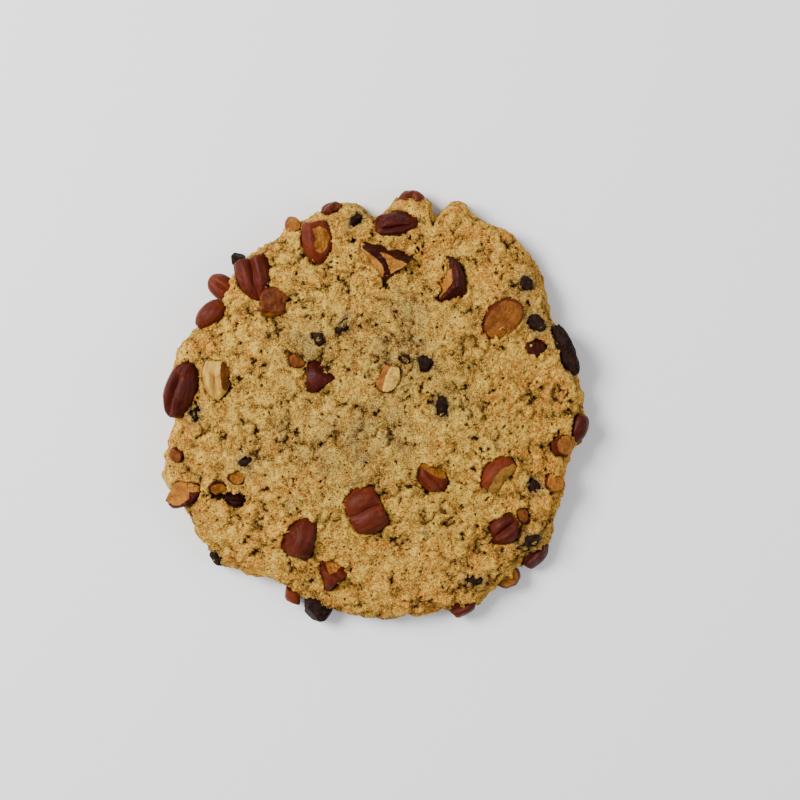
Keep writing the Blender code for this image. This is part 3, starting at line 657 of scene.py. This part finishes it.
def chocolate_points(name, divisions):
    """A chocolate chunk's points about its own middle: a lump with flat sides and chipped corners."""
    length, width, thickness, _ = CHOCOLATE[name]
    seed = Vector((length, width, thickness))
    flats = chips_of(name, length, width)
    points = []
    for direction in SPHERES[divisions][0]:
        bulge = 1 + 0.22 * noise.noise(direction * 1.4 + seed)
        bulge /= sum(abs(part) ** CHUNK_POWER for part in direction) ** (1 / CHUNK_POWER)
        bulge += 0.07 * noise.noise(direction * 4.0 + seed) + 0.03 * noise.noise(direction * 9.0 + seed)
        taper = 1 - 0.22 * direction.y**2
        x, z = direction.x * width * taper, direction.z * thickness * taper
        point, keep = Vector((x, direction.y * length, z)) * bulge / 2, 1.0
        for normal, distance in flats:
            reach = normal.dot(point)
            if reach > LEAST_REACH:
                keep = soft_smaller(keep, distance / reach, CHIP_BLEND)
        points.append(point * keep)
    return points


def add_chocolate(name, material):
    points = in_place(chocolate_points(name, SMALL_DETAIL), CHOCOLATE[name][3], name)
    obj = mesh_object("chunk_" + name, points, SPHERES[SMALL_DETAIL][1])
    obj.data.materials.append(material)
    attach(obj, "root")
    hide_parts(name)


def tree_of(table, maker):
    """A search tree of all pieces of a kind in fewer triangles, for the dough to close round."""
    points, faces = [], []
    for name in table:
        turns = PECANS[name][5] if table is PECANS else CHOCOLATE[name][3]
        start = len(points)
        points += in_place(maker(name), turns, name)
        faces += [tuple(start + corner for corner in face) for face in SPHERES[TREE_DETAIL][1]]
    return BVHTree.FromPolygons(points, faces)


def signed_distance(tree, point, reach):
    """How far a point is outside the pieces, negative inside, or None where none is in reach."""
    nearest, normal, _, distance = tree.find_nearest(point, reach)
    if nearest is None:
        return None
    return -distance if (point - nearest).dot(normal) < 0 else distance


def stain_at(point):
    """How much the chocolate has greyed the crumb at a point."""
    total = 0.0
    for x, y, reach, strength in STAINS:
        far = math.hypot(point.x - x, point.y - y)
        total += strength * math.exp(-((far / reach) ** 2))
    return clamped(total * (0.75 + 0.9 * noise.noise(point / 4.0)))


def toast_at(share, height, angle):
    """How brown the crust is: 0 in the middle, 1 at the top's edge and 2 on the side and the base."""
    if height <= 0:
        return 2.0
    turned = 0.85 + 0.25 * math.cos(math.radians(angle - BROWNEST))
    side = fade(SHOULDER_HEIGHT - height, 4.0, 8.5) if share > SHOULDER else 0.0
    return fade(share, 0.42, 0.95) * turned * (1 - side) + 2.0 * side


def add_dough(material):
    """The dough: rings of points all over the crust, moved by the relief and closed round the pieces."""
    kernels = tree_of(PECANS, lambda name: pecan_points(name, TREE_DETAIL)[0])
    chunks = tree_of(CHOCOLATE, lambda name: chocolate_points(name, TREE_DETAIL))
    draw = random.Random(DOUGH_SEED)
    points, looks, faces = [], [], []

    def add_point(angle, share, height, out, up):
        smooth = place_of(angle, share) + Vector((0, 0, height))
        around = Vector((math.cos(math.radians(angle)), math.sin(math.radians(angle)), 0))
        facing = around * out + Vector((0, 0, max(0.0, up)))
        coarse, crag = relief(smooth)
        coarse += RAGGED_HEIGHT * out * noise.noise(smooth / RAGGED_SIZE + Vector((2.9, 6.6, 1.1)))
        coarse *= clamped(height / (SHOULDER_HEIGHT * BASE_FADE))
        fine, painted_shading = crumb(smooth)
        stain = stain_at(smooth) if up > 0 else 0.0
        if up < 0:
            fine *= clamped(height / 2.0)
        point = smooth + facing * (coarse + fine)
        if height > 0:
            sink, painted_shading = beside_kernels(kernels, point, up, painted_shading)
            chip_sink, stain = beside_chunks(chunks, point, up, stain)
            point -= facing * (sink + chip_sink)
        else:
            dimple = 0.12 * (1 + noise.noise(smooth / 3.0)) + 0.8 * pit_depth(smooth)
            point.z = min(0.9, dimple * fade(BASE_SHARE - share, 0.0, 0.03))
        point.z = max(0.0, point.z)
        points.append(point)
        # Painted shade is laid deeper in the crags.
        looks.append((min(1.0, painted_shading + 0.3 * crag), toast_at(share, height, angle), stain))

    add_point(0.0, 0.0, SHOULDER_HEIGHT + DOME, 0.0, 1.0)
    before, count = 0, 1
    for number, (share, height, out, up, spacing) in enumerate(profile()):
        here = len(points)
        size = max(6, round(2 * math.pi * share * MEAN_RADIUS / spacing))
        for index in range(size):
            jitter = draw.uniform(-JITTER, JITTER)
            angle = 360 * (index + 0.5 * (number % 2) + jitter) / size
            add_point(angle, share, height, out, up)
        faces += stitched(before, count, here, size)
        before, count = here, size
    add_point(0.0, 0.0, 0.0, 0.0, -1.0)
    faces += stitched(before, count, len(points) - 1, 1)
    faces = [face for face in faces if len(set(face)) == 3]
    obj = mesh_object("baked_dough", points, faces)
    set_colours(obj, "crust_look", looks)
    obj.data.materials.append(material)
    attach(obj, "root")
    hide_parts("cookie_dough")
    return BVHTree.FromPolygons(points, faces), looks, faces, kernels


def height_over(tree, point, up, reach):
    """How far a point of the top is above a piece, if it is within reach, and otherwise 0."""
    below = tree.ray_cast(point, DOWN, reach)[0] if up > 0.5 else None
    return 0.0 if below is None else point.z - below.z


def beside_kernels(kernels, point, up, painted_shading):
    """How far the crust sinks beside and in a pecan piece, negative where it rises, and its painted
    shading there.

    Here and there the crumb stands off from the piece, and elsewhere it laps up to it or over its edge.
    Where the piece's edge is just under the top, the crust over it is cleared away.
    Painted shade darkens the crevice beside the piece and fills the crust under a cleared edge.
    """
    far = signed_distance(kernels, point, KERNEL_REACH)
    if far is None:
        return 0.0, painted_shading
    loose = fade(noise.noise(point / 2.6 + Vector((4.4, 0.2, 7.0))), -0.1, 0.35)
    lap = fade(noise.noise(point / 2.2 + Vector((9.1, 3.3, 0.8))), -0.1, 0.3) * (1 - loose)
    if far < 0:
        if -far < LAP_DEPTH * lap:
            return far * 1.2 - LAP_THICKNESS, painted_shading
        return 0.9 + 0.8 * min(1.0, -far), 1.0
    # Crust cleared away under a bared edge gets the full painted shade.
    over = height_over(kernels, point, up, KERNEL_CLEARED) if lap < 0.8 else 0.0
    if over > 0:
        return over + KERNEL_BARED, 1.0
    # Painted shade in the crevice beside the piece, deepest where the crumb stands off.
    sink = 0.8 * loose * math.exp(-((far / 0.45) ** 2))
    lip = (0.3 + 0.7 * lap) * (1 - loose) * math.exp(-(((far - 0.5) / 0.7) ** 2))
    return sink - lip, clamped(painted_shading + (0.05 + 0.95 * loose) * math.exp(-((far / 0.4) ** 2)), -1.0)


def beside_chunks(chunks, point, up, stain):
    """How far the crust sinks beside and in a chunk, which shows through it in places, and its stain."""
    far = signed_distance(chunks, point, CHUNK_REACH)
    if far is None:
        return 0.0, stain
    smudge = noise.noise(point / 0.9)
    covered = noise.noise(point / 1.9 + Vector((0.6, 6.1, 3.3))) > 0.06
    if far < 0:
        if covered and far > -COVER_DEPTH:
            return far * 1.2 - COVER_THICKNESS, max(stain, 1.45 + 0.3 * smudge)
        return 0.6 + 0.5 * min(1.0, -far), max(stain, HIDDEN)
    over = 0.0 if covered else height_over(chunks, point, up, CHUNK_CLEARED)
    if over > 0:
        return over + CHUNK_BARED, max(stain, HIDDEN)
    lip = 0.35 * math.exp(-(((far - 0.5) / 0.6) ** 2))
    halo = 1.5 * math.exp(-((far / 1.5) ** 2)) * (0.6 + 0.7 * smudge)
    return -lip, max(stain, halo)


def add_crumbs(material, crust, looks, faces, kernels):
    """Loose grains half sunk in the top, all in one mesh."""
    draw = random.Random(CRUMB_SEED)
    ball, ball_faces = unit_sphere(2)
    points, grain_looks, grain_faces = [], [], []
    made = 0
    while made < CRUMBS:
        angle, share = draw.uniform(0, 360), 0.99 * math.sqrt(draw.random())
        place = place_of(angle, share)
        hit, normal, face, _ = crust.ray_cast(place + OVERHEAD, DOWN)
        size = CRUMB_SMALLEST + (CRUMB_LARGEST - CRUMB_SMALLEST) * draw.random() ** 2.5
        turn = Euler([draw.uniform(0, math.tau) for _ in range(3)]).to_matrix()
        shape = [draw.uniform(0.7, 1.25) for _ in range(3)]
        if hit is None or kernels.find_nearest(hit, size + 0.3)[0] is not None:
            continue
        painted_shading, toast, stain = looks[faces[face][0]]
        if painted_shading > CRUMB_MOST_SHADING or stain > CRUMB_STAIN:
            continue
        start = len(points)
        middle = hit + normal * size * draw.uniform(-0.15, 0.25)
        for corner in ball:
            bumpy = size * (1 + 0.5 * noise.noise(corner * 1.3 + hit))
            points.append(middle + turn @ Vector(c * s for c, s in zip(corner, shape)) * bumpy)
            # Each loose grain is painted lighter, a painted highlight as on a tip.
            grain_looks.append((-0.5 + 0.4 * draw.random(), toast, 0.7 * stain))
        grain_faces += [tuple(start + corner for corner in face) for face in ball_faces]
        made += 1
    obj = mesh_object("loose_crumbs", points, grain_faces)
    set_colours(obj, "crust_look", grain_looks)
    obj.data.materials.append(material)
    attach(obj, "root")


class Nodes:
    """A short way to write a material's nodes."""

    def __init__(self, name):
        self.material = bpy.data.materials.new(name)
        self.material.use_nodes = True
        self.tree = self.material.node_tree
        self.shader = self.tree.nodes["Principled BSDF"]
        self.place = self.add("ShaderNodeTexCoord").outputs["Object"]

    def add(self, kind, inputs=(), **settings):
        made = self.tree.nodes.new(kind)
        for name, value in settings.items():
            setattr(made, name, value)
        for name, value in dict(inputs).items():
            self.put(made.inputs[name], value)
        return made

    def put(self, socket, value):
        if isinstance(value, bpy.types.NodeSocket):
            self.tree.links.new(value, socket)
        else:
            socket.default_value = value

    def attribute(self, name):
        parts = self.add("ShaderNodeSeparateColor")
        source = self.add("ShaderNodeAttribute", attribute_name=name)
        self.tree.links.new(source.outputs["Color"], parts.inputs["Color"])
        return parts.outputs[0], parts.outputs[1], parts.outputs[2]

    def noise(self, size, detail=3.0, rough=0.55, place=None):
        """Noise with features of a size in millimetres, from 0 to 1."""
        scale = 1 / (size * MM) if place is None else 1 / size
        values = {"Vector": place or self.place, "Scale": scale, "Detail": detail, "Roughness": rough}
        return self.add("ShaderNodeTexNoise", values).outputs[0]

    def warped(self, size, amount):
        """The place, moved about by noise of a size, by up to half an amount, in millimetres."""
        values = {"Vector": self.place, "Scale": 1 / (size * MM), "Detail": 1.0}
        wander = self.add("ShaderNodeTexNoise", values).outputs["Color"]
        centred = self.add("ShaderNodeVectorMath", {0: wander, 1: (0.5, 0.5, 0.5)}, operation="SUBTRACT")
        moved = self.add("ShaderNodeVectorMath", {0: centred.outputs[0]}, operation="SCALE")
        moved.inputs["Scale"].default_value = amount * MM
        return self.add("ShaderNodeVectorMath", {0: self.place, 1: moved.outputs[0]}).outputs[0]

    def holes(self, size, widest, share, place):
        """1 in small holes and 0 outside. A share of the cells have one, each of its own width."""
        values = {"Vector": place, "Scale": 1 / (size * MM)}
        cells = self.add("ShaderNodeTexVoronoi", values)
        drawn = self.add("ShaderNodeSeparateColor", {0: cells.outputs["Color"]}).outputs[0]
        width = self.spread(drawn, 1 - share, 1.0, 0.0, widest / size / 2)
        inside = self.math("SUBTRACT", width, cells.outputs["Distance"])
        return self.math("MULTIPLY", inside, 14.0, clamp=True)

    def math(self, operation, first, second=0.0, clamp=False):
        made = self.add("ShaderNodeMath", {0: first, 1: second}, operation=operation, use_clamp=clamp)
        return made.outputs[0]

    def spread(self, value, low, high, low_to=0.0, high_to=1.0):
        values = {"Value": value, "From Min": low, "From Max": high, "To Min": low_to, "To Max": high_to}
        return self.add("ShaderNodeMapRange", values).outputs[0]

    def mix(self, share, first, second):
        made = self.add("ShaderNodeMix", data_type="RGBA")
        for number, value in ((0, share), (6, first), (7, second)):
            self.put(made.inputs[number], value)
        return made.outputs[2]

    def shaded(self, colour, value, start, full, strength, shade):
        """The colour with a shade laid over it: none where the value is at start, its strength at full."""
        return self.mix(self.spread(value, start, full, 0.0, strength), colour, tint(*shade))

    def bump(self, height, distance):
        values = {"Height": height, "Distance": distance * MM, "Strength": 1.0}
        return self.add("ShaderNodeBump", values).outputs[0]

    def finish(self, colour, roughness, normal, **numbers):
        self.put(self.shader.inputs["Base Color"], colour)
        self.put(self.shader.inputs["Roughness"], roughness)
        self.put(self.shader.inputs["Normal"], normal)
        for name, value in numbers.items():
            self.shader.inputs[name.replace("_", " ")].default_value = value
        return self.material


def tint(red, green, blue):
    """A colour given as it looks on screen, from 0 to 255, as the linear values that nodes take."""
    values = [v / 255 for v in (red, green, blue)]
    return (*[v / 12.92 if v <= 0.04045 else ((v + 0.055) / 1.055) ** 2.4 for v in values], 1.0)


def dough_material():
    """Baked crumb: pale and brown patches, browner to the rim and greyed by stains.

    Painted shade darkens gaps, holes and pores, and painted highlights lighten the tips.
    """
    m = Nodes("baked crumb")
    painted_shading, toast, stain = m.attribute("crust_look")
    patch = m.noise(3.0, 3.0, 0.6)
    broad = m.noise(9.0, 3.0)
    grain = m.noise(0.8, 5.0, 0.8)
    speck = m.noise(0.3, 2.0, 0.7)
    colour = m.mix(m.spread(patch, 0.40, 0.60), tint(226, 184, 82), tint(172, 122, 50))
    warm = m.spread(broad, 0.42, 0.68, -0.15, 0.6)
    warm = m.math("ADD", m.math("MULTIPLY", toast, 0.6), warm, clamp=True)
    warm = m.math("MULTIPLY", warm, m.spread(patch, 0.35, 0.6, 0.45, 1.0))
    colour = m.mix(warm, colour, tint(208, 120, 40))
    colour = m.shaded(colour, toast, 1.0, 2.0, 1.0, (132, 78, 32))
    colour = m.shaded(colour, grain, 0.48, 0.37, 0.8, (108, 71, 32))
    colour = m.shaded(colour, grain, 0.50, 0.61, 0.75, (244, 200, 88))
    # Painted highlights on the tips of the lumps.
    colour = m.shaded(colour, painted_shading, -0.1, -0.7, 0.7, (252, 208, 84))
    # Painted shade in the low parts.
    colour = m.shaded(colour, painted_shading, -0.1, 0.25, 0.4, (170, 106, 42))
    uneven = m.spread(patch, 0.3, 0.6, 1.0, 0.55)
    stained = m.math("MULTIPLY", m.spread(stain, 0.0, 0.9, 0.0, 0.85), uneven)
    colour = m.mix(stained, colour, tint(106, 97, 74))
    colour = m.shaded(colour, stain, 1.0, HIDDEN, 0.9, (42, 30, 26))
    # Deeper painted shade in the gaps.
    colour = m.shaded(colour, painted_shading, 0.15, 0.75, 0.75, (78, 48, 23))
    colour = m.shaded(colour, speck, 0.46, 0.35, 0.85, (74, 46, 23))
    colour = m.shaded(colour, speck, 0.54, 0.64, 0.6, (255, 218, 96))
    # The darkest painted shade, in holes and in the crust beside and under the kernels.
    colour = m.shaded(colour, painted_shading, 0.7, 1.0, 1.0, (38, 23, 14))
    place = m.warped(0.8, 1.1)
    pores = m.math("MAXIMUM", m.holes(0.9, 0.55, 0.5, place), m.holes(1.7, 0.95, 0.55, place))
    # Painted shade: the pores are darkened nearly to black.
    colour = m.mix(m.math("MULTIPLY", pores, 0.92), colour, tint(42, 25, 14))
    height = m.math("ADD", m.math("MULTIPLY", grain, 1.3), m.math("MULTIPLY", speck, 0.9))
    height = m.math("SUBTRACT", height, pores)
    return m.finish(colour, 0.9, m.bump(height, 0.5), Specular_IOR_Level=0.04)


def pecan_material():
    """Kernels: streaked skin from nearly black to cream, and clouded flesh from rust to cream."""
    m = Nodes("pecan kernel")
    flesh, skin, tone = m.attribute("kernel_look")
    local = m.add("ShaderNodeAttribute", attribute_name="kernel_place").outputs["Vector"]
    stretched = m.add("ShaderNodeMapping", {"Vector": local, "Scale": (1.0, 0.25, 1.0)}).outputs[0]
    streak = m.noise(1.1, 3.0, 0.6, stretched)
    cloud = m.noise(2.6, 3.0, 0.6, local)
    fine = m.noise(0.5, 3.0, 0.65, local)
    dark_skin = m.mix(m.spread(streak, 0.35, 0.68), tint(46, 9, 6), tint(67, 21, 14))
    red_skin = m.mix(m.spread(streak, 0.35, 0.68), tint(80, 28, 14), tint(104, 43, 20))
    pale_skin = m.mix(m.spread(streak, 0.4, 0.62), tint(152, 110, 44), tint(190, 150, 66))
    skin_colour = m.mix(m.spread(skin, 0.0, 0.5), dark_skin, red_skin)
    skin_colour = m.shaded(skin_colour, skin, 0.0, -1.0, 1.0, (20, 3, 1))
    skin_colour = m.mix(m.spread(skin, 0.6, 0.95), skin_colour, pale_skin)
    reddened = m.math("MULTIPLY", m.spread(cloud, 0.54, 0.7, 0.0, 0.5), m.spread(skin, -0.2, 0.2))
    skin_colour = m.mix(reddened, skin_colour, tint(108, 48, 19))
    rust = m.mix(m.spread(cloud, 0.38, 0.62), tint(64, 24, 9), tint(98, 46, 18))
    tan = m.mix(m.spread(cloud, 0.38, 0.62), tint(130, 78, 26), tint(164, 106, 36))
    cream = m.mix(m.spread(cloud, 0.38, 0.62), tint(176, 136, 56), tint(216, 176, 82))
    flesh_colour = m.mix(m.spread(tone, 0.0, 0.5), rust, tan)
    flesh_colour = m.mix(m.spread(tone, 0.5, 1.0), flesh_colour, cream)
    flesh_colour = m.shaded(flesh_colour, fine, 0.5, 0.36, 0.55, (88, 46, 18))
    edge = m.math("ADD", flesh, m.spread(streak, 0.3, 0.7, -0.3, 0.3))
    colour = m.mix(m.spread(edge, 0.42, 0.58), skin_colour, flesh_colour)
    height = m.math("ADD", m.math("MULTIPLY", streak, 0.5), m.math("MULTIPLY", fine, 0.5))
    roughness = m.spread(flesh, 0.0, 1.0, 0.4, 0.6)
    return m.finish(colour, roughness, m.bump(height, 0.25), Specular_IOR_Level=0.09)


def chocolate_material():
    m = Nodes("dark chocolate")
    cloud = m.noise(1.6, 3.0, 0.65)
    fine = m.noise(0.6, 3.0, 0.65)
    colour = m.mix(m.spread(cloud, 0.4, 0.65), tint(22, 9, 6), tint(42, 25, 19))
    colour = m.shaded(colour, fine, 0.58, 0.72, 0.4, (84, 66, 52))
    height = m.math("ADD", cloud, m.math("MULTIPLY", fine, 0.8))
    return m.finish(colour, 0.5, m.bump(height, 0.45), Specular_IOR_Level=0.05)


def add_floor():
    bpy.ops.mesh.primitive_plane_add(size=FLOOR_SIZE)
    floor = bpy.context.object
    floor.name = "floor"
    m = Nodes("pale floor")
    m.shader.inputs["Base Color"].default_value = tint(243, 243, 245)
    m.shader.inputs["Roughness"].default_value = FLOOR_ROUGHNESS
    floor.data.materials.append(m.material)


def add_lamp(name, place, size, power, colour):
    data = bpy.data.lights.new(name, "AREA")
    data.size, data.energy, data.color = size, power, colour
    lamp = bpy.data.objects.new(name, data)
    lamp.location = place
    lamp.rotation_euler = (-Vector(place)).to_track_quat("-Z", "Y").to_euler()
    bpy.context.scene.collection.objects.link(lamp)


def add_light():
    for lamp in LAMPS:
        add_lamp(*lamp)
    world = bpy.data.worlds.new("room")
    world.use_nodes = True
    world.node_tree.nodes["Background"].inputs["Color"].default_value = ROOM_COLOUR
    world.node_tree.nodes["Background"].inputs["Strength"].default_value = ROOM_LIGHT
    bpy.context.scene.world = world


def add_camera():
    data = bpy.data.cameras.new("camera")
    data.sensor_width = SENSOR
    data.lens = SENSOR * VIEW_DISTANCE / VIEW_SPAN
    camera = bpy.data.objects.new("camera", data)
    tilt = math.radians(VIEW_TILT)
    target = Vector((*VIEW_MIDDLE, VIEW_HEIGHT)) * MM
    camera.location = target + Vector((0, math.sin(tilt), math.cos(tilt))) * VIEW_DISTANCE * MM
    camera.rotation_euler = (-tilt, 0, 0)
    bpy.context.scene.collection.objects.link(camera)
    bpy.context.scene.camera = camera


def main():
    pecan, chocolate = pecan_material(), chocolate_material()
    for name in PECANS:
        add_pecan(name, pecan)
    for name in CHOCOLATE:
        add_chocolate(name, chocolate)
    crumb_material = dough_material()
    add_crumbs(crumb_material, *add_dough(crumb_material))
    add_floor()
    add_light()
    add_camera()


main()
